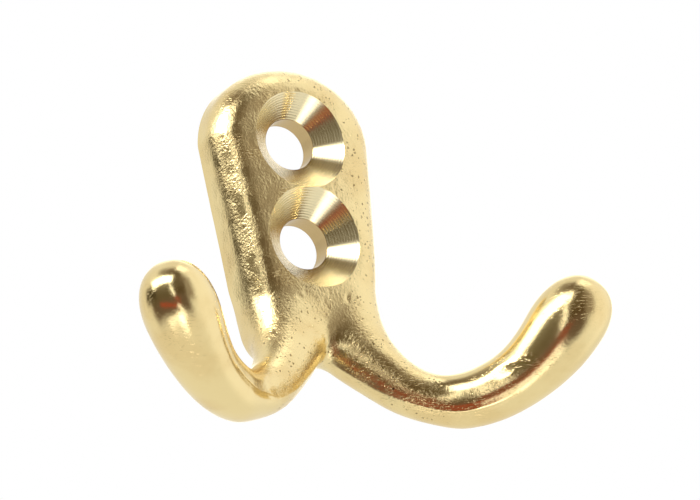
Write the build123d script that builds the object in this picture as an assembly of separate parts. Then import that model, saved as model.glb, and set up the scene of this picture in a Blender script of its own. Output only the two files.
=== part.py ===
from build123d import *
import math
import os

# A ramshorn hook: one brass casting, a countersunk back plate whose lower end parts
# into two horns. Millimetres. The origin is on the back face, midway between the two
# screw holes; the front faces -Y, up is +Z, the wall is the plane y = 0.

# ---- driving dimensions
HOLE_SPACING = 9.3          # between the two screw holes, one above the other
HOLE_DIA = 4.7              # clears a 4 mm (No. 8) wood screw
BACK_CHAMFER = 0.45         # small break where each hole leaves the back
CSK_UPPER_DIA = 9.25        # 90 degree countersinks, at the front face
CSK_LOWER_DIA = 9.5
THICK_UPPER = 4.6           # plate thickness on the centre line at each hole
THICK_LOWER = 4.92
CROWN_RADIUS = 33.0         # front face is crowned side to side
SAG_RADIUS = 200.0          # and falls back gently towards the top and the foot
CORNER_RADIUS = 7.1         # the plate's top is an arch: two wide corners at this radius,
CORNER_X = 0.85             # their centres this far off the middle and at this height,
CORNER_Z = 4.35
CORNER_TURN_DEG = 60.0      # and between them, from here, a flatter crown
TAPER_DEG = 5.1             # each side leans in going down
DRAFT_DEG = 1.5             # the side wall leans in towards the front
SHOULDER = 2.7              # rounding between the front face and the side wall
PLATE_FOOT_Z = -15.3        # the plate's outline is inside the horns' roots here
FOOT_ROUND = 2.7            # and the foot's corners are rounded so that none looks out
SLAB_DEPTH = 7.0            # the plate before its front is crowned
PROFILE_REACH = 18.0        # the crown's side view runs this far up and down
TIP_RADIUS = 3.38           # thickest place, where the rounded end starts
TIP_CENTRE = (19.05, -13.15, -15.05)
TIP_DIR = (0.53, -0.49, 0.69)
TIP_LENGTH = 4.75           # from that place to the end
TIP_FULLNESS = 2.3          # 2 would be an ellipse
TIP_STEPS = (0.4, 0.68, 0.87, 0.97)     # where its sections stand along it
KEPT_BLOCK = (40.0, 30.0, 80.0)         # a horn is kept only on its own side, before the wall
CUT_OVERRUN = 1.2           # cutters run on this far past the faces they open

# One row for each section of a horn, from inside the plate to the thickest place:
# x, y, z of the middle; half height; half depth; squareness (2 is an ellipse)
HORN = (
    (2.85, -2.15, -9.75, 3.30, 2.45, 2.2),
    (3.15, -2.60, -12.60, 3.60, 2.75, 2.1),
    (3.80, -3.40, -15.20, 3.25, 2.72, 2.1),
    (4.95, -4.25, -16.90, 2.76, 2.60, 2.0),
    (6.75, -5.19, -18.82, 2.48, 2.45, 2.0),
    (8.60, -5.98, -19.88, 2.36, 2.36, 2.0),
    (11.44, -7.38, -20.31, 2.51, 2.51, 2.0),
    (13.33, -8.54, -19.96, 2.62, 2.62, 2.0),
    (15.08, -9.77, -19.18, 2.74, 2.74, 2.0),
    (16.62, -10.98, -18.01, 2.96, 2.96, 2.0),
    (17.90, -12.09, -16.62, 3.22, 3.22, 2.0),
)
# how far each of the first sections has turned from level towards upright, degrees
HORN_LEAN = (3.0, 18.0, 33.0, 43.0, 55.0, 68.0)
SECTION_POINTS = 12


def front_y(z):
    slope = (THICK_LOWER - THICK_UPPER) / HOLE_SPACING
    return -(THICK_UPPER + slope * (HOLE_SPACING / 2 - z))


def front_profile():
    """Side view of everything behind the front face, back to the axis it is turned about."""
    half = HOLE_SPACING / 2
    rise = math.atan((THICK_LOWER - THICK_UPPER) / HOLE_SPACING)
    depth = SAG_RADIUS - math.sqrt(SAG_RADIUS ** 2 - half ** 2)
    mid = Vector(0, front_y(0) - depth, 0)
    cy, cz = mid.Y + SAG_RADIUS * math.cos(rise), -SAG_RADIUS * math.sin(rise)

    def on_arc(z):
        return Vector(0, cy - math.sqrt(SAG_RADIUS ** 2 - (z - cz) ** 2), z)

    low, high = on_arc(-PROFILE_REACH), on_arc(PROFILE_REACH)
    back = CROWN_RADIUS + front_y(0)
    rest = Polyline(high, (0, back, PROFILE_REACH), (0, back, -PROFILE_REACH), low)
    return make_face([ThreePointArc(low, on_arc(0), high), rest])


def plate_outline():
    """Front view of the plate: an arch with sides that lean in, closed at the foot."""
    lean, turn = math.radians(TAPER_DEG), math.radians(CORNER_TURN_DEG)

    def on_corner(angle, side):
        return (side * (CORNER_X + CORNER_RADIUS * math.cos(angle)), CORNER_Z + CORNER_RADIUS * math.sin(angle))

    start, middle, end = [[on_corner(a, side) for side in (1, -1)] for a in (lean, (lean + turn) / 2, turn)]
    crown_top = CORNER_Z - CORNER_X * math.tan(turn) + CORNER_RADIUS + CORNER_X / math.cos(turn)
    foot_x = start[0][0] - (start[0][1] - PLATE_FOOT_Z) * math.tan(lean)
    with BuildSketch(Plane.XZ) as sk:
        with BuildLine():
            ThreePointArc(start[0], middle[0], end[0])
            ThreePointArc(end[0], (0, crown_top), end[1])
            ThreePointArc(end[1], middle[1], start[1])
            Polyline(start[1], (-foot_x, PLATE_FOOT_Z), (foot_x, PLATE_FOOT_Z), start[0])
        make_face()
        fillet(sk.vertices().sort_by(Axis.Y)[:2], FOOT_ROUND)
    return sk.sketch


def plate():
    """Back plate: drafted sides, a crowned front and a rounded shoulder between them."""
    slab = extrude(plate_outline(), SLAB_DEPTH, taper=DRAFT_DEG)
    crown = revolve(front_profile(), Axis((0, CROWN_RADIUS + front_y(0), 0), (0, 0, 1)))
    body = slab & crown
    front = [e for e in body.edges() if e.center().Y < -THICK_UPPER / 2]
    return fillet(front, SHOULDER)


def section(row, along, lean):
    """One closed, planar section of a horn, square to the direction it runs in."""
    x, y, z, hh, hd, sq = row
    e1 = Vector(math.cos(math.radians(lean)), 0, math.sin(math.radians(lean)))
    e1 = (e1 - along * e1.dot(along)).normalized()
    e2 = along.cross(e1)
    pts = []
    for k in range(SECTION_POINTS):
        a = 2 * math.pi * k / SECTION_POINTS
        c, s = math.cos(a), math.sin(a)
        u = hh * math.copysign(abs(c) ** (2 / sq), c)
        v = hd * math.copysign(abs(s) ** (2 / sq), s)
        pts.append(Vector(x, y, z) + e1 * u + e2 * v)
    knots = [k / SECTION_POINTS for k in range(SECTION_POINTS + 1)]
    return Wire([Edge.make_spline(pts, parameters=knots, periodic=True)])


def horn():
    """Right-hand horn: a loft that starts as half the plate and ends round and thick."""
    rows = list(HORN) + [(*TIP_CENTRE, TIP_RADIUS, TIP_RADIUS, 2.0)]
    centres = [Vector(r[0], r[1], r[2]) for r in rows]
    tip_dir = Vector(*TIP_DIR).normalized()
    wires = []
    for i, row in enumerate(rows):
        if i == 0:
            along = (centres[1] - centres[0]).normalized()
        elif i == len(rows) - 1:
            along = tip_dir
        else:
            along = (centres[i + 1] - centres[i - 1]).normalized()
        if i < len(HORN_LEAN):
            lean = HORN_LEAN[i]
            level = Vector(math.sin(math.radians(lean)), 0, -math.cos(math.radians(lean)))
            along = (level + Vector(0, along.Y / max(0.2, math.hypot(along.X, along.Z)), 0)).normalized()
        else:
            lean = math.degrees(math.atan2(along.X, -along.Z))
        wires.append(section(row, along, lean))
    wires += tip_sections(tip_dir)
    return Solid.make_loft(wires)


def tip_sections(axis):
    """Shrinking round sections of the rounded end, closed at its very end by a point."""
    lean = math.degrees(math.atan2(axis.X, -axis.Z))
    found = []
    for step in TIP_STEPS:
        c = Vector(*TIP_CENTRE) + axis * (TIP_LENGTH * step)
        r = TIP_RADIUS * (1 - step ** TIP_FULLNESS) ** (1 / TIP_FULLNESS)
        found.append(section((c.X, c.Y, c.Z, r, r, 2.0), axis, lean))
    return found + [Vertex(Vector(*TIP_CENTRE) + axis * TIP_LENGTH)]


def screw_hole(z, csk_dia):
    """Clearance bore with its countersink and the small break at the back."""
    r, rc = HOLE_DIA / 2, csk_dia / 2
    yf = front_y(z)
    over = CUT_OVERRUN
    profile = Polyline((0, over), (r + BACK_CHAMFER + over, over), (r, -BACK_CHAMFER), (r, yf + rc - r),
                       (rc + over, yf - over), (0, yf - over), (0, over))
    return Pos(0, 0, z) * revolve(make_face(profile), Axis.Y)


def hook():
    body = plate()
    body -= screw_hole(HOLE_SPACING / 2, CSK_UPPER_DIA)
    body -= screw_hole(-HOLE_SPACING / 2, CSK_LOWER_DIA)
    wide, deep, high = KEPT_BLOCK
    limb = horn() & (Pos(wide / 2, -deep / 2, 0) * Box(wide, deep, high))
    body = body + limb
    body = body + mirror(limb, about=Plane.YZ)
    return body


os.makedirs("parts", exist_ok=True)
part = hook()
print("solids", len(part.solids()), "faces", len(part.faces()), "volume", round(part.volume, 1))
bb = part.bounding_box()
print("box", [round(v, 2) for v in (*bb.min, *bb.max)], "valid", part.is_valid)
part.label = "hook"
export_step(part, "parts/hook.step")
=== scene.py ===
import math
import random

import bmesh
import bpy
import numpy as np
from mathutils import Matrix, Vector, noise


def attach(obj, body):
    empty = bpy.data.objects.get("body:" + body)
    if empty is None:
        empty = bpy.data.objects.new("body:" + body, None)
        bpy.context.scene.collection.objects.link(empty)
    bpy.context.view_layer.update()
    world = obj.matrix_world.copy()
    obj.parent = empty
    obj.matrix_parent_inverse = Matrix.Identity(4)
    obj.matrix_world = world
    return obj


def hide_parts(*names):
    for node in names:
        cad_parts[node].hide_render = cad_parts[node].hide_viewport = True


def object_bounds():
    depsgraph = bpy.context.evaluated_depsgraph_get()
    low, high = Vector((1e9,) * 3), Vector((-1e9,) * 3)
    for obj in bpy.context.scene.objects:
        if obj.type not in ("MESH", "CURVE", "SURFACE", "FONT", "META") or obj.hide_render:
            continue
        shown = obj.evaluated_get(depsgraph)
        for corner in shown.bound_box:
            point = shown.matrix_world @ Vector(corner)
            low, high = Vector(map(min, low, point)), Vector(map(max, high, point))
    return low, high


mm = 0.001
touching = 1e-7              # points nearer than this, in metres, count as one
whiteLight = (1, 1, 1, 1)

print("ramshorn hook: loading the frame")
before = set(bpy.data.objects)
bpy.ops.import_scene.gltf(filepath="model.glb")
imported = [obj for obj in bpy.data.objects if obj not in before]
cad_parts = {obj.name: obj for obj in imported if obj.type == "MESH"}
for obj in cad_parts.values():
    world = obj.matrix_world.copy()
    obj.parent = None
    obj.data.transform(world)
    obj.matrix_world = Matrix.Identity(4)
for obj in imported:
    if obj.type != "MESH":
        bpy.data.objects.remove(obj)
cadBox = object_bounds()


def hexColour(code):
    # an sRGB hex colour as the linear values that the shaders take
    parts = [int(code[i:i + 2], 16) / 255 for i in (1, 3, 5)]
    return [p / 12.92 if p <= 0.04045 else ((p + 0.055) / 1.055) ** 2.4 for p in parts] + [1.0]


def addObject(name, data):
    obj = bpy.data.objects.new(name, data)
    bpy.context.scene.collection.objects.link(obj)
    return obj


def addNode(tree, kind, settings=None, inputs=None):
    node = tree.nodes.new(kind)
    for name, value in (settings or {}).items():
        setattr(node, name, value)
    for key, value in (inputs or {}).items():
        if isinstance(value, bpy.types.NodeSocket):
            tree.links.new(value, node.inputs[key])
        else:
            node.inputs[key].default_value = value
    return node


def mathsIn(tree):
    # one tree's maths nodes, written like a formula
    def maths(op, a, b=0.0):
        return addNode(tree, "ShaderNodeMath", {"operation": op}, {0: a, 1: b}).outputs[0]
    return maths


def ramp(tree, value, low, high, start=0.0, end=1.0, kind="SMOOTHSTEP"):
    return addNode(tree, "ShaderNodeMapRange", {"interpolation_type": kind}, {
        "Value": value, "From Min": low, "From Max": high, "To Min": start, "To Max": end}).outputs[0]


def mixColour(tree, share, below, above):
    return addNode(tree, "ShaderNodeMix", {"data_type": "RGBA"},
                   {"Factor": share, "A": below, "B": above}).outputs["Result"]


# 90 degree countersinks turned after casting, for two 4 mm wood screws; lengths in mm
countersink = dict(
    spacing=9.3,
    bore=4.7,
    upperRim=9.29,
    lowerRim=9.54,
    upperFace=4.6,       # plate thickness at each hole
    lowerFace=4.92,
    ringPitch=0.31,      # between the tool's deeper rings
    ringDepth=0.0012,
    backBreak=0.45,
    beyond=1.2,          # how far the cutter runs on past the front
    behind=1.0,          # and past the back
    segments=128,
    sharpAngle=38,       # edges that turn more than this stay crisp
)
pointsPerRing = 6.0
backPoints = 4.0         # points of the cutter's profile before its cone starts


def countersinkTree():
    # a lathe: the profile is a line of points placed by formula, and a grid takes it round the axis
    tree = bpy.data.node_groups.new("turnedCountersink", "GeometryNodeTree")
    face = tree.interface
    for name in ("Bore Radius", "Rim Radius", "Face Depth", "Beyond", "Behind", "Back Break", "Ring Pitch",
                 "Ring Depth", "Height"):
        face.new_socket(name, in_out="INPUT", socket_type="NodeSocketFloat")
    face.new_socket("Segments", in_out="INPUT", socket_type="NodeSocketInt")
    face.new_socket("Material", in_out="INPUT", socket_type="NodeSocketMaterial")
    face.new_socket("Geometry", in_out="OUTPUT", socket_type="NodeSocketGeometry")
    given = addNode(tree, "NodeGroupInput").outputs
    bore, behind = given["Bore Radius"], given["Behind"]
    index = addNode(tree, "GeometryNodeInputIndex").outputs[0]
    maths = mathsIn(tree)

    def choose(test, yes, no):
        return addNode(tree, "GeometryNodeSwitch", {"input_type": "FLOAT"},
                       {"Switch": test, "False": no, "True": yes}).outputs[0]

    def isPoint(k):
        return addNode(tree, "FunctionNodeCompare", {"data_type": "INT", "operation": "EQUAL"},
                       {"A": index, "B": k}).outputs[0]

    # the cone: its points step out from the bore, with a fine wave for the rings
    coneWidth = maths("SUBTRACT", given["Rim Radius"], bore)
    slant = maths("ADD", coneWidth, given["Beyond"])
    count = maths("CEIL", maths("DIVIDE", maths("MULTIPLY", slant, pointsPerRing), given["Ring Pitch"]))
    step = maths("SUBTRACT", index, backPoints)
    along = maths("MULTIPLY", maths("DIVIDE", step, count), slant)
    wave = maths("SINE", maths("MULTIPLY", maths("DIVIDE", along, given["Ring Pitch"]), 2 * math.pi))
    ring = maths("MULTIPLY", wave, given["Ring Depth"])
    radius = maths("ADD", maths("ADD", bore, along), ring)
    seat = maths("ADD", maths("MULTIPLY", given["Face Depth"], -1.0), coneWidth)
    depth = maths("SUBTRACT", seat, along)

    # before it two points behind the back and two in the bore, after it one on the axis
    backRadius = maths("ADD", bore, maths("ADD", given["Back Break"], behind))
    breakDepth = maths("MULTIPLY", given["Back Break"], -1.0)
    for k, pointRadius, pointDepth in ((0, 0.0, behind), (1, backRadius, behind), (2, bore, breakDepth),
                                       (3, bore, maths("MULTIPLY", seat, 0.5))):
        radius = choose(isPoint(k), pointRadius, radius)
        depth = choose(isPoint(k), pointDepth, depth)
    last = addNode(tree, "FunctionNodeCompare", {"data_type": "FLOAT", "operation": "GREATER_THAN"},
                   {"A": step, "B": maths("ADD", count, 0.5)}).outputs[0]
    radius = choose(last, 0.0, radius)
    depth = choose(last, maths("SUBTRACT", seat, slant), depth)
    rows = maths("ADD", count, backPoints + 2)
    line = addNode(tree, "GeometryNodeMeshLine", {"mode": "OFFSET", "count_mode": "TOTAL"}, {"Count": rows})
    spot = addNode(tree, "ShaderNodeCombineXYZ", None, {"X": radius, "Y": depth}).outputs[0]
    placed = addNode(tree, "GeometryNodeSetPosition", None,
                     {"Geometry": line.outputs[0], "Position": spot}).outputs[0]

    # turned: each column of the grid is the profile once more, a step further round
    columns = maths("ADD", given["Segments"], 1.0)
    grid = addNode(tree, "GeometryNodeMeshGrid", None, {"Vertices X": rows, "Vertices Y": columns})
    row = maths("FLOOR", maths("DIVIDE", maths("ADD", index, 0.5), columns))
    column = maths("SUBTRACT", index, maths("MULTIPLY", row, columns))
    angle = maths("MULTIPLY", maths("DIVIDE", column, given["Segments"]), 2 * math.pi)
    place = addNode(tree, "GeometryNodeInputPosition").outputs[0]
    profile = addNode(tree, "GeometryNodeSampleIndex", {"data_type": "FLOAT_VECTOR", "domain": "POINT"},
                      {"Geometry": placed, "Value": place, "Index": row})
    apart = addNode(tree, "ShaderNodeSeparateXYZ", None, {0: profile.outputs[0]}).outputs
    turned = addNode(tree, "ShaderNodeCombineXYZ", None, {
        "X": maths("MULTIPLY", apart["X"], maths("COSINE", angle)),
        "Y": apart["Y"],
        "Z": maths("ADD", maths("MULTIPLY", apart["X"], maths("SINE", angle)), given["Height"])}).outputs[0]
    lathe = addNode(tree, "GeometryNodeSetPosition", None,
                    {"Geometry": grid.outputs["Mesh"], "Position": turned}).outputs[0]
    closed = addNode(tree, "GeometryNodeMergeByDistance", None,
                     {"Geometry": lathe, "Distance": touching}).outputs[0]
    real = addNode(tree, "GeometryNodeRealizeInstances", None, {"Geometry": closed}).outputs[0]
    painted = addNode(tree, "GeometryNodeSetMaterial", None,
                      {"Geometry": real, "Material": given["Material"]}).outputs[0]
    addNode(tree, "NodeGroupOutput", None, {"Geometry": painted})
    return tree


def fromTree(name, tree, values):
    # runs a Geometry Nodes tree and keeps its result as a plain mesh object
    obj = addObject(name, bpy.data.meshes.new(name))
    live = obj.modifiers.new("build", "NODES")
    live.node_group = tree
    for socket in tree.interface.items_tree:
        if socket.in_out == "INPUT" and socket.name in values:
            live[socket.identifier] = values[socket.name]
    seen = obj.evaluated_get(bpy.context.evaluated_depsgraph_get())
    mesh = bpy.data.meshes.new_from_object(seen)
    obj.modifiers.remove(live)
    obj.data = mesh
    return obj


def faceOutwards(mesh):
    bm = bmesh.new()
    bm.from_mesh(mesh)
    bmesh.ops.recalc_face_normals(bm, faces=bm.faces)
    if bm.calc_volume(signed=True) < 0:
        bmesh.ops.reverse_faces(bm, faces=bm.faces)
    bm.to_mesh(mesh)
    bm.free()


def countersinkCutters(material):
    c = countersink
    tree = countersinkTree()
    shared = {
        "Bore Radius": c["bore"] / 2 * mm, "Beyond": c["beyond"] * mm, "Behind": c["behind"] * mm,
        "Back Break": c["backBreak"] * mm, "Ring Pitch": c["ringPitch"] * mm,
        "Ring Depth": c["ringDepth"] * mm, "Segments": c["segments"], "Material": material}
    cutters = []
    for name, side, rim, faceDepth in (("cutterUpper", 1, c["upperRim"], c["upperFace"]),
                                       ("cutterLower", -1, c["lowerRim"], c["lowerFace"])):
        cutters.append(fromTree(name, tree, {
            **shared, "Rim Radius": rim / 2 * mm, "Face Depth": faceDepth * mm,
            "Height": side * c["spacing"] / 2 * mm}))
    for cutter in cutters:
        faceOutwards(cutter.data)
    return cutters


# lengths in mm; a pair of limits says where an effect starts and where it is full
casting = dict(
    voxel=0.17,                     # mesh size of the reworked skin
    settle=(6, 0.53),               # passes that take the mesh steps out; each second one goes back so far
    ease=(50, 0.50),                # passes that ease every edge of the casting, likewise
    blendPasses=200,                # passes that melt the horns' roots into the plate
    blendDown=(-8.0, -10.2),        # by height
    blendAcross=(11.5, 8.0),        # and by distance from the middle
    crown=33.0,                     # radii of the plate's front, side to side and up the plate
    sag=200.0,
    relief=((4.5, 0.035), (1.5, 0.008)),        # unevenness of the whole casting: size and height
    plateRelief=((0.9, 0.006), (0.42, 0.004)),  # and of its grainy plate and roots
    plateAcross=(9.5, 6.5),
    seed=11,
)
# the mould's parting line, along the front of each horn
seamLine = dict(
    height=0.045,
    width=0.045,
    tiltOut=(-0.14, -0.60),         # how far it faces down, left and right: out along the horn
    tiltRoot=(-0.45, -0.60),        # and at its root
    tiltAcross=(9.5, 7.0),          # where the one turns into the other
    facing=(-0.1, -0.3),            # only where the skin looks forwards
    start=(0.5, 1.5),               # from the middle
    end=(14.5, 12.5),
    down=(-14.5, -16.0),
)
hollows = dict(
    facing=-0.2,                    # only where the skin looks forwards
    pits=70,
    pitsAcross=(-2.5, 7.2),
    pitsUp=(-15.5, 9.0),
    pitRadius=(0.14, 0.30),
    pitStretch=(1.0, 1.8),
    pitLean=(0, 90),
    pitDepth=0.035,
    nicks=(
        dict(x=2.3, z=-10.4, length=0.55, width=0.22, depth=0.12, lean=15),
        dict(x=13.1, z=-19.0, length=0.95, width=0.6, depth=0.09, lean=60),
    ),
)
# filling for a hole of the copied mesh, so that the skin can be reworked and the hole cut again clean
plug = dict(
    turns=64,
    overlapBack=0.75,               # how far it reaches into the metal round it: at the back,
    overlapBore=0.15,               # along the bore
    overlapRim=0.12,                # and at the rim
    backDepth=0.7,
    sunk=0.01,                      # its face lies this far under the plate's front
)
# grown on the back, and cut off again once the skin is smooth
backLayer = dict(
    thickness=1.0,
    facing=0.999,                   # the back's faces look this straight at the wall
    near=0.01,                      # and lie this close to it
)


def frontDepth(x, z):
    # the crowned front face, as y in mm
    c = countersink
    half = c["spacing"] / 2
    rise = math.atan((c["lowerFace"] - c["upperFace"]) / c["spacing"])
    sag = casting["sag"]
    middle = -(c["lowerFace"] + c["upperFace"]) / 2 - (sag - math.sqrt(sag ** 2 - half ** 2))
    cy, cz = middle + sag * math.cos(rise), -sag * math.sin(rise)
    spine = cy - math.sqrt(sag ** 2 - (z - cz) ** 2)
    axis = casting["crown"] - (c["lowerFace"] + c["upperFace"]) / 2
    return axis - math.sqrt((axis - spine) ** 2 - x ** 2)


def addPlug(bm, z, rim, faceDepth):
    bore = countersink["bore"] / 2
    inBore = bore + plug["overlapBore"]
    seat = -(faceDepth - (rim / 2 - bore))
    # radius and depth of each loop of points; without a depth it lies on the plate's front
    loops = [(0.0, 0.0), (bore + plug["overlapBack"], 0.0), (inBore, -plug["backDepth"]), (inBore, seat),
             (rim / 2 + plug["overlapRim"], None), (rim / 3, None), (rim / 6, None), (0.0, None)]
    turns = plug["turns"]
    rings = []
    for radius, y in loops:
        ring = []
        for k in range(turns if radius else 1):
            a = 2 * math.pi * k / turns
            px, pz = radius * math.cos(a), z + radius * math.sin(a)
            py = frontDepth(px, pz) + plug["sunk"] if y is None else y
            ring.append(bm.verts.new((px * mm, py * mm, pz * mm)))
        rings.append(ring)
    for a, b in zip(rings, rings[1:]):
        for k in range(turns):
            quad = [a[k % len(a)], a[(k + 1) % len(a)], b[(k + 1) % len(b)], b[k % len(b)]]
            bm.faces.new([v for i, v in enumerate(quad) if v not in quad[:i]])


def thickenBack(bm):
    def onBack(f):
        return f.normal.y > backLayer["facing"] and abs(f.calc_center_median().y) < backLayer["near"] * mm

    flat = [f for f in bm.faces if onBack(f)]
    grown = bmesh.ops.extrude_face_region(bm, geom=flat)["geom"]
    bmesh.ops.translate(bm, verts=[v for v in grown if isinstance(v, bmesh.types.BMVert)],
                        vec=(0, backLayer["thickness"] * mm, 0))
    bmesh.ops.delete(bm, geom=[f for f in flat if f.is_valid], context="FACES_ONLY")


def castSkin(source):
    # an even mesh of the solid, with its holes filled for now
    mesh = source.data.copy()
    bm = bmesh.new()
    bm.from_mesh(mesh)
    bmesh.ops.remove_doubles(bm, verts=bm.verts, dist=2 * touching)
    c = countersink
    addPlug(bm, c["spacing"] / 2, c["upperRim"], c["upperFace"])
    addPlug(bm, -c["spacing"] / 2, c["lowerRim"], c["lowerFace"])
    bmesh.ops.recalc_face_normals(bm, faces=bm.faces)
    thickenBack(bm)
    bm.to_mesh(mesh)
    bm.free()
    skin = addObject("castHook", mesh)
    remesh = skin.modifiers.new("remesh", "REMESH")
    remesh.mode = "VOXEL"
    remesh.voxel_size = casting["voxel"] * mm
    seen = skin.evaluated_get(bpy.context.evaluated_depsgraph_get())
    skin.data = bpy.data.meshes.new_from_object(seen)
    skin.modifiers.clear()
    print("casting skin:", len(skin.data.polygons), "faces")
    return skin


def meshPoints(mesh):
    points = np.empty(len(mesh.vertices) * 3)
    mesh.vertices.foreach_get("co", points)
    return points.reshape(-1, 3)


def meshEdges(mesh):
    edges = np.empty(len(mesh.edges) * 2, dtype=np.int32)
    mesh.edges.foreach_get("vertices", edges)
    return edges.reshape(-1, 2)


def surfaceNormals(mesh):
    normals = np.empty(len(mesh.vertices) * 3)
    mesh.vertices.foreach_get("normal", normals)
    return normals.reshape(-1, 3)


def smoothStep(low, high, value):
    t = np.clip((value - low) / (high - low), 0, 1)
    return t * t * (3 - 2 * t)


def relax(points, edges, passes, weight, back=0.0):
    # moves each point halfway to the mean of its neighbours; back undoes the shrinking in each second pass
    count = np.bincount(edges.ravel(), minlength=len(points))[:, None].astype(float)
    for k in range(passes):
        total = np.zeros_like(points)
        for axis in range(3):
            total[:, axis] = (np.bincount(edges[:, 0], points[edges[:, 1], axis], len(points))
                              + np.bincount(edges[:, 1], points[edges[:, 0], axis], len(points)))
        pull = (total / count - points) * weight[:, None]
        points = points + pull * (-back if back and k % 2 else 0.5)
    return points


def easeSkin(mesh):
    c = casting
    points, edges = meshPoints(mesh), meshEdges(mesh)
    whole = np.ones(len(points))
    for passes, back in (c["settle"], c["ease"]):
        points = relax(points, edges, passes, whole, back)
    x, z = points[:, 0] / mm, points[:, 2] / mm
    root = smoothStep(*c["blendDown"], z) * smoothStep(*c["blendAcross"], np.abs(x))
    points = relax(points, edges, c["blendPasses"], root)
    mesh.vertices.foreach_set("co", points.ravel())
    mesh.update()
    return points


def raiseRelief(lift, place):
    c = casting
    whole = np.ones(len(place))
    grainy = smoothStep(*c["plateAcross"], np.abs(place[:, 0]))
    for layers, share in ((c["relief"], whole), (c["plateRelief"], grainy)):
        for size, height in layers:
            shift = Vector((7 * size, 3, 5 * size))     # each layer reads another part of the noise
            lift += share * [height * noise.noise(Vector(p) / size + shift) for p in place]


def raiseSeam(lift, place, normals):
    s = seamLine
    x, z = place[:, 0], place[:, 2]
    out = np.abs(x)
    tiltOut, tiltRoot = np.where(x < 0, *s["tiltOut"]), np.where(x < 0, *s["tiltRoot"])
    tilt = tiltOut + (tiltRoot - tiltOut) * smoothStep(*s["tiltAcross"], out)
    seam = np.exp(-((normals[:, 2] - tilt) / s["width"]) ** 2) * smoothStep(*s["facing"], normals[:, 1])
    seam *= smoothStep(*s["start"], out) * smoothStep(*s["end"], out) * smoothStep(*s["down"], z)
    lift += s["height"] * seam


def dent(place, normals, middle, half, depth, lean):
    # how far each point of the front sinks into one oval hollow
    a = math.radians(lean)
    x, z = place[:, 0] - middle[0], place[:, 2] - middle[1]
    u, v = x * math.cos(a) - z * math.sin(a), x * math.sin(a) + z * math.cos(a)
    far = (u / half[0]) ** 2 + (v / half[1]) ** 2
    return -depth * np.clip(1 - far, 0, 1) * (normals[:, 1] < hollows["facing"])


def sinkHollows(lift, place, normals):
    h = hollows
    dice = random.Random(casting["seed"])
    for k in range(h["pits"]):
        middle = (dice.uniform(*h["pitsAcross"]), dice.uniform(*h["pitsUp"]))
        radius = dice.uniform(*h["pitRadius"])
        half = (radius, radius * dice.uniform(*h["pitStretch"]))
        lift += dent(place, normals, middle, half, h["pitDepth"], dice.uniform(*h["pitLean"]))
    for nick in h["nicks"]:
        half = (nick["width"], nick["length"])
        lift += dent(place, normals, (nick["x"], nick["z"]), half, nick["depth"], nick["lean"])


def cutBackFlat(mesh):
    bm = bmesh.new()
    bm.from_mesh(mesh)
    cut = bmesh.ops.bisect_plane(bm, geom=bm.verts[:] + bm.edges[:] + bm.faces[:], dist=touching,
                                 plane_co=(0, 0, 0), plane_no=(0, 1, 0), clear_outer=True)["geom_cut"]
    rim = [e for e in cut if isinstance(e, bmesh.types.BMEdge)]
    bmesh.ops.triangle_fill(bm, edges=rim, use_beauty=True, normal=(0, 1, 0))
    bmesh.ops.recalc_face_normals(bm, faces=bm.faces)
    bm.to_mesh(mesh)
    bm.free()


def reworkSkin(mesh):
    points = easeSkin(mesh)
    normals = surfaceNormals(mesh)
    place = points / mm
    lift = np.zeros(len(points))
    raiseRelief(lift, place)
    raiseSeam(lift, place, normals)
    sinkHollows(lift, place, normals)
    points += normals * (lift * mm)[:, None]
    mesh.vertices.foreach_set("co", points.ravel())
    cutBackFlat(mesh)


# where the tumbling left the casting grainy, and where small pits show; both fade along the horns
finishFades = dict(
    grainAcross=(10.5, 6.5),
    grainForward=(-0.1, -1.2),      # from the wall
    pittedFromLeft=(-3.0, 2.5),
    pittedFromRight=(11.0, 7.0),
    pittedFacing=(0.1, -0.4),
    webDown=(-7.5, -10.0),          # the web between plate and horns is pitted too, but less
    webAcross=(9.0, 6.0),
    webFacing=(0.0, -0.4),
    webShare=0.7,
)


def markFinish(mesh):
    f = finishFades
    x, y, z = (meshPoints(mesh) / mm).T
    out, facing = np.abs(x), surfaceNormals(mesh)[:, 1]
    grain = smoothStep(*f["grainAcross"], out) * smoothStep(*f["grainForward"], y)
    pitted = smoothStep(*f["pittedFromLeft"], x) * smoothStep(*f["pittedFromRight"], out)
    pitted *= smoothStep(*f["pittedFacing"], facing)
    web = smoothStep(*f["webDown"], z) * smoothStep(*f["webAcross"], out)
    web *= smoothStep(*f["webFacing"], facing)
    for name, values in (("grain", grain), ("pitted", np.maximum(pitted, web * f["webShare"]))):
        mesh.attributes.new(name, "FLOAT", "POINT").data.foreach_set("value", values.astype(np.float32))


def cutCountersinks(skin, cutters):
    for cutter in cutters:
        cut = skin.modifiers.new("cut", "BOOLEAN")
        cut.operation = "DIFFERENCE"
        cut.solver = "EXACT"
        cut.material_mode = "TRANSFER"
        cut.object = cutter
    seen = skin.evaluated_get(bpy.context.evaluated_depsgraph_get())
    mesh = bpy.data.meshes.new_from_object(seen)
    skin.modifiers.clear()
    skin.data = mesh
    for cutter in cutters:
        bpy.data.objects.remove(cutter)
    mesh.shade_smooth()
    mesh.set_sharp_from_angle(angle=math.radians(countersink["sharpAngle"]))
    markFinish(mesh)
    print("after the cuts:", len(mesh.polygons), "faces")


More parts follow.
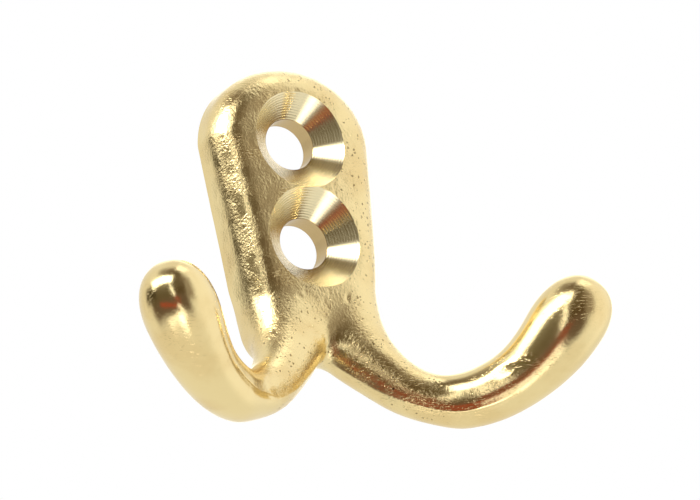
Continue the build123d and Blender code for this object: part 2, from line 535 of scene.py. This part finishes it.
# sizes in mm; a pair of limits says between which values of a noise an effect sets in
castBrassLook = dict(
    colour="#F6E0A6",
    worn="#EBCF92",
    wornSize=4.0,
    wornLimits=(0.4, 0.7),
    wornShare=0.7,
    roughness=(0.16, 0.25),         # on the buffed horns, on the grainy plate
    bump=(0.09, 0.5),
    bumpHeight=0.09,
    grainSize=0.225,
    patchSize=1.8,                  # patches where the grain and the pits are stronger
    patchLimits=(0.35, 0.65),
    calmGrain=0.4,                  # share of the grain between the patches
    calmPits=0.35,
    pit="#6E5626",
    pitShare=0.7,
    pitSink=0.5,
    pitSpacing=0.35,
    pitSize=0.07,
    pitSizes=(0.2, 1.6),            # the smallest and the largest, as shares of that size
    pitEdge=0.05,
    pitLimits=(0.25, 0.6),
    pitRagged=7.0,                  # wobbles of their outlines per mm
    pitBend=0.35,                   # and how far they wander
    scratch=(0.8, 0.3, 0.09),       # length, depth and width of the handling marks
    scratchTurn=-35,
    scratchLimits=(0.60, 0.70),
    scratchPlaces=(0.47, 0.60),
    scratchHeight=0.10,
    scratchRough=0.06,
)
turnedBrassLook = dict(
    colour="#FBEDC2",
    # painted shade: the bore wall gets a darker brown than the cone, standing in for the shade and dark
    # reflections inside the hole
    bore="#CDB27E",
    boreShadeEdge=(0.02, 0.06),      # how far past the bore its painted shade ends
    roughness=0.2,
    anisotropic=0.9,
    ringPitch=0.18,
    ringUneven=9.0,             # changes of the rings' strength per mm
    bump=0.45,
    bumpHeight=0.014,
)


def objectPlace(tree):
    # Object coordinates in mm
    return addNode(tree, "ShaderNodeMapping", None, {
        "Vector": addNode(tree, "ShaderNodeTexCoord").outputs["Object"], "Scale": (1 / mm,) * 3}).outputs[0]


def startMaterial(name):
    material = bpy.data.materials.new(name)
    material.use_nodes = True
    material.node_tree.nodes.clear()
    return material, material.node_tree


def castBrassPolished():
    # cast brass, tumbled and buffed: a yellow mirror on the horns, grainy and finely pitted on the plate
    look = castBrassLook
    material, tree = startMaterial("castBrassPolished")
    place = objectPlace(tree)
    maths = mathsIn(tree)

    def marked(name):
        return addNode(tree, "ShaderNodeAttribute", {"attribute_name": name}).outputs["Fac"]

    def clouds(at, scale, detail, rough=0.5):
        return addNode(tree, "ShaderNodeTexNoise", None,
                       {"Vector": at, "Scale": scale, "Detail": detail, "Roughness": rough}).outputs

    cloud = clouds(place, 1 / look["wornSize"], 4.0)["Fac"]
    patchy = ramp(tree, clouds(place, 1 / look["patchSize"], 3.0)["Fac"], *look["patchLimits"])
    grain = clouds(place, 1 / look["grainSize"], 3.0, 0.6)["Fac"]
    worked = maths("MULTIPLY", marked("grain"), ramp(tree, patchy, 0.0, 1.0, look["calmGrain"], 1.0))

    # pits: some cells of a pattern, each of its own size, with ragged outlines
    ragged = clouds(place, look["pitRagged"], 2.0)["Color"]
    bent = addNode(tree, "ShaderNodeVectorMath", {"operation": "MULTIPLY_ADD"},
                   {0: ragged, 1: (look["pitBend"],) * 3, 2: place}).outputs[0]
    cells = addNode(tree, "ShaderNodeTexVoronoi", None,
                    {"Vector": bent, "Scale": 1 / look["pitSpacing"]}).outputs
    chosen = addNode(tree, "ShaderNodeSeparateColor", None, {0: cells["Color"]}).outputs[0]
    size = ramp(tree, chosen, 0.35, 1.0, *look["pitSizes"])
    reach = maths("MULTIPLY", look["pitSize"] / look["pitSpacing"], size)
    inPit = ramp(tree, maths("SUBTRACT", reach, cells["Distance"]), 0.0, look["pitEdge"])
    pitted = maths("MULTIPLY", marked("pitted"), maths("ADD", patchy, look["calmPits"]))
    pit = maths("MULTIPLY", inPit, ramp(tree, chosen, 0.4, 0.45))
    pit = maths("MULTIPLY", pit, ramp(tree, pitted, *look["pitLimits"]))

    # handling marks: a noise stretched one way, kept where it peaks
    strokes = addNode(tree, "ShaderNodeMapping", None, {
        "Vector": place, "Rotation": (0, math.radians(look["scratchTurn"]), 0),
        "Scale": [1 / size for size in look["scratch"]]}).outputs[0]
    peaks = ramp(tree, clouds(strokes, 1.0, 2.0)["Fac"], *look["scratchLimits"])
    scratch = maths("MULTIPLY", peaks, ramp(tree, cloud, *look["scratchPlaces"]))

    wornShare = ramp(tree, cloud, *look["wornLimits"], 0.0, look["wornShare"])
    colour = mixColour(tree, wornShare, hexColour(look["colour"]), hexColour(look["worn"]))
    colour = mixColour(tree, maths("MULTIPLY", pit, look["pitShare"]), colour, hexColour(look["pit"]))
    rough = maths("ADD", ramp(tree, worked, 0.0, 1.0, *look["roughness"]),
                  maths("MULTIPLY", scratch, look["scratchRough"]))
    height = maths("MULTIPLY", grain, ramp(tree, worked, 0.0, 1.0, *look["bump"]))
    height = maths("SUBTRACT", height, maths("MULTIPLY", pit, look["pitSink"]))
    height = maths("SUBTRACT", height, maths("MULTIPLY", scratch, look["scratchHeight"]))
    bump = addNode(tree, "ShaderNodeBump", None,
                   {"Strength": 1.0, "Distance": look["bumpHeight"] * mm, "Height": height}).outputs[0]
    shader = addNode(tree, "ShaderNodeBsdfPrincipled", None, {
        "Base Color": colour, "Metallic": 1.0, "Roughness": rough, "Normal": bump})
    addNode(tree, "ShaderNodeOutputMaterial", None, {"Surface": shader.outputs[0]})
    return material


def turnedBrass():
    # brass cut by a countersink bit: fine rings that spread the light out from the bore in fans; the bore
    # wall itself is painted darker as shade
    look = turnedBrassLook
    material, tree = startMaterial("turnedBrass")
    place = addNode(tree, "ShaderNodeSeparateXYZ", None, {0: objectPlace(tree)}).outputs
    maths = mathsIn(tree)
    holeHeight = maths("MULTIPLY", maths("SIGN", place["Z"]), countersink["spacing"] / 2)
    up = maths("SUBTRACT", place["Z"], holeHeight)
    radius = maths("SQRT", maths("ADD", maths("POWER", place["X"], 2.0), maths("POWER", up, 2.0)))
    rings = maths("SINE", maths("MULTIPLY", radius, 2 * math.pi / look["ringPitch"]))
    uneven = addNode(tree, "ShaderNodeTexNoise", {"noise_dimensions": "1D"},
                     {"W": radius, "Scale": look["ringUneven"], "Detail": 2.0}).outputs["Fac"]
    bump = addNode(tree, "ShaderNodeBump", None, {
        "Strength": look["bump"], "Distance": look["bumpHeight"] * mm,
        "Height": maths("MULTIPLY", rings, uneven)}).outputs[0]
    outward = addNode(tree, "ShaderNodeCombineXYZ", None, {
        "X": place["X"], "Y": maths("MULTIPLY", radius, -1.0), "Z": up}).outputs[0]
    tangent = addNode(tree, "ShaderNodeVectorMath", {"operation": "NORMALIZE"}, {0: outward}).outputs[0]
    boreShadeEnds, coneStarts = [countersink["bore"] / 2 + edge for edge in look["boreShadeEdge"]]
    # painted shade: share of the darker bore colour, full on the bore wall and gone on the cone
    inBore = ramp(tree, radius, boreShadeEnds, coneStarts, 1.0, 0.0, "LINEAR")
    shader = addNode(tree, "ShaderNodeBsdfPrincipled", None, {
        "Base Color": mixColour(tree, inBore, hexColour(look["colour"]), hexColour(look["bore"])),
        "Metallic": 1.0, "Roughness": look["roughness"], "Anisotropic": look["anisotropic"],
        "Normal": bump, "Tangent": tangent})
    addNode(tree, "ShaderNodeOutputMaterial", None, {"Surface": shader.outputs[0]})
    return material


print("casting: skin and countersinks")
castBrass = castBrassPolished()
cutBrass = turnedBrass()
hook = castSkin(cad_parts["hook"])
reworkSkin(hook.data)
hook.data.materials.clear()
hook.data.materials.append(castBrass)
cutCountersinks(hook, countersinkCutters(cutBrass))
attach(hook, "root")
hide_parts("hook")


# the room by direction: azimuth 0 is in front of the hook, 90 on its right; sizes are half angles;
# patches lie over the base colour, glows over the patches
room = dict(
    base="#EFEFEC",
    patches=(
        dict(azimuth=-52, elevation=-27, wide=64, high=28, soft=10, turn=0, colour="#625246", amount=0.97),
        dict(azimuth=-18, elevation=36, wide=24, high=44, soft=8, turn=10, colour="#56472F", amount=0.95),
        dict(azimuth=-78, elevation=6, wide=38, high=24, soft=7, turn=0, colour="#645B48", amount=0.95),
        dict(azimuth=-60, elevation=74, wide=20, high=12, soft=7, turn=0, colour="#75675A", amount=0.8),
        dict(azimuth=19, elevation=14, wide=14, high=28, soft=9, turn=6, colour="#83766A", amount=0.85),
        dict(azimuth=-112, elevation=7, wide=22, high=14, soft=6, turn=0, colour="#453E2E", amount=0.88),
        dict(azimuth=-52, elevation=-34, wide=32, high=5, soft=4, turn=-10, colour="#AA4E38", amount=0.85),
        dict(azimuth=-24, elevation=-20, wide=9, high=5, soft=4, turn=-20, colour="#A04E3C", amount=0.75),
    ),
    glows=(
        dict(azimuth=68, elevation=12, wide=34, high=46, soft=12, turn=0, strength=1.02),
        dict(azimuth=42, elevation=67, wide=13, high=12, soft=6, turn=0, strength=1.6),
        dict(azimuth=-71, elevation=38, wide=32, high=13, soft=5, turn=12, strength=3.1),
        dict(azimuth=-36, elevation=5, wide=3, high=18, soft=3, turn=16, strength=1.9),
        dict(azimuth=-20, elevation=-60, wide=9, high=9, soft=4, turn=0, strength=2.8),
        dict(azimuth=-68, elevation=-62, wide=16, high=5, soft=4, turn=0, strength=1.6),
        dict(azimuth=-12, elevation=-44, wide=13, high=4, soft=4, turn=-40, strength=1.6),
        dict(azimuth=140, elevation=32, wide=18, high=26, soft=9, turn=0, strength=1.6),
    ),
)
# lengths in metres
keyLamp = dict(azimuth=-62, elevation=38, distance=0.5, size=0.14, power=0.9)
floorLook = dict(colour="#F2F2F0", radius=1.2, segments=96, gap=0.0002, whiteShare=0.6)
cameraPlace = dict(azimuth=-30.38, elevation=-17.16, roll=7.61, distance=0.9, lens=525.3, sensor=36,
                   aside=0.00583, above=-0.00414, near=0.01, far=10)


def direction(azimuth, elevation):
    a, e = math.radians(azimuth), math.radians(elevation)
    return Vector((math.sin(a) * math.cos(e), -math.cos(a) * math.cos(e), math.sin(e)))


def makeWorld():
    world = bpy.data.worlds.new("studio")
    bpy.context.scene.world = world
    world.use_nodes = True
    tree = world.node_tree
    tree.nodes.clear()
    look = addNode(tree, "ShaderNodeTexCoord").outputs["Generated"]
    maths = mathsIn(tree)

    def along(axis):
        return addNode(tree, "ShaderNodeVectorMath", {"operation": "DOT_PRODUCT"},
                       {0: look, 1: axis}).outputs["Value"]

    def inside(angle, half, soft):
        return ramp(tree, maths("ABSOLUTE", angle), math.radians(half + soft), math.radians(half - soft))

    def cover(patch):
        # a soft rectangle seen in one direction
        ahead = direction(patch["azimuth"], patch["elevation"])
        level = Vector((0, 0, 1)).cross(ahead).normalized()
        spin = Matrix.Rotation(math.radians(patch["turn"]), 3, ahead)
        right, up = spin @ level, spin @ ahead.cross(level)
        across = maths("ARCTAN2", along(right), along(ahead))
        return maths("MULTIPLY", inside(across, patch["wide"], patch["soft"]),
                     inside(maths("ARCSINE", along(up)), patch["high"], patch["soft"]))

    colour = hexColour(room["base"])
    for patch in room["patches"]:
        share = maths("MULTIPLY", cover(patch), patch["amount"])
        colour = mixColour(tree, share, colour, hexColour(patch["colour"]))
    for glow in room["glows"]:
        colour = mixColour(tree, cover(glow), colour, (glow["strength"],) * 3 + (1.0,))
    studio = addNode(tree, "ShaderNodeBackground", None, {"Color": colour, "Strength": 1.0}).outputs[0]
    paper = addNode(tree, "ShaderNodeBackground", None, {"Color": whiteLight, "Strength": 1.0}).outputs[0]
    seen = addNode(tree, "ShaderNodeLightPath").outputs["Is Camera Ray"]
    mix = addNode(tree, "ShaderNodeMixShader", None, {0: seen, 1: studio, 2: paper}).outputs[0]
    addNode(tree, "ShaderNodeOutputWorld", None, {"Surface": mix})


def palePaper():
    # matt pale paper, almost white to the eye, and clear from below so that the hook shows
    material, tree = startMaterial("palePaper")
    matt = addNode(tree, "ShaderNodeBsdfDiffuse", None, {"Color": hexColour(floorLook["colour"])}).outputs[0]
    white = addNode(tree, "ShaderNodeEmission", None, {"Color": whiteLight, "Strength": 1.0}).outputs[0]
    seen = addNode(tree, "ShaderNodeLightPath").outputs["Is Camera Ray"]
    share = mathsIn(tree)("MULTIPLY", seen, floorLook["whiteShare"])
    top = addNode(tree, "ShaderNodeMixShader", None, {0: share, 1: matt, 2: white}).outputs[0]
    under = addNode(tree, "ShaderNodeBsdfTransparent").outputs[0]
    below = addNode(tree, "ShaderNodeNewGeometry").outputs["Backfacing"]
    mix = addNode(tree, "ShaderNodeMixShader", None, {0: below, 1: top, 2: under}).outputs[0]
    addNode(tree, "ShaderNodeOutputMaterial", None, {"Surface": mix})
    return material


def makeFloor():
    bm = bmesh.new()
    bmesh.ops.create_circle(bm, cap_ends=True, segments=floorLook["segments"], radius=floorLook["radius"])
    bmesh.ops.translate(bm, verts=bm.verts, vec=(0, 0, cadBox[0].z - floorLook["gap"]))
    mesh = bpy.data.meshes.new("floor")
    bm.to_mesh(mesh)
    bm.free()
    if mesh.polygons[0].normal.z < 0:
        mesh.flip_normals()
    mesh.materials.append(palePaper())
    floor = addObject("floor", mesh)
    floor.visible_glossy = False


def makeLamp():
    data = bpy.data.lights.new("keyLamp", "AREA")
    data.shape = "DISK"
    data.size = keyLamp["size"]
    data.energy = keyLamp["power"]
    lamp = addObject("keyLamp", data)
    towards = direction(keyLamp["azimuth"], keyLamp["elevation"])
    lamp.location = towards * keyLamp["distance"]
    lamp.rotation_mode = "QUATERNION"
    lamp.rotation_quaternion = towards.to_track_quat("Z", "Y")


def makeCamera():
    c = cameraPlace
    back = direction(c["azimuth"], c["elevation"])
    a, roll = math.radians(c["azimuth"]), math.radians(c["roll"])
    right = Vector((math.cos(a), math.sin(a), 0))
    up = back.cross(right)
    x = right * math.cos(roll) - up * math.sin(roll)
    y = right * math.sin(roll) + up * math.cos(roll)
    data = bpy.data.cameras.new("camera")
    data.lens = c["lens"]
    data.sensor_width = c["sensor"]
    data.clip_start, data.clip_end = c["near"], c["far"]
    camera = addObject("camera", data)
    spot = back * c["distance"] + x * c["aside"] + y * c["above"]
    camera.matrix_world = Matrix.Translation(spot) @ Matrix((x, y, back)).transposed().to_4x4()
    bpy.context.scene.camera = camera


print("studio: world, floor, lamp and camera")
makeWorld()
makeFloor()
makeLamp()
makeCamera()
bpy.context.scene.view_settings.view_transform = "Standard"
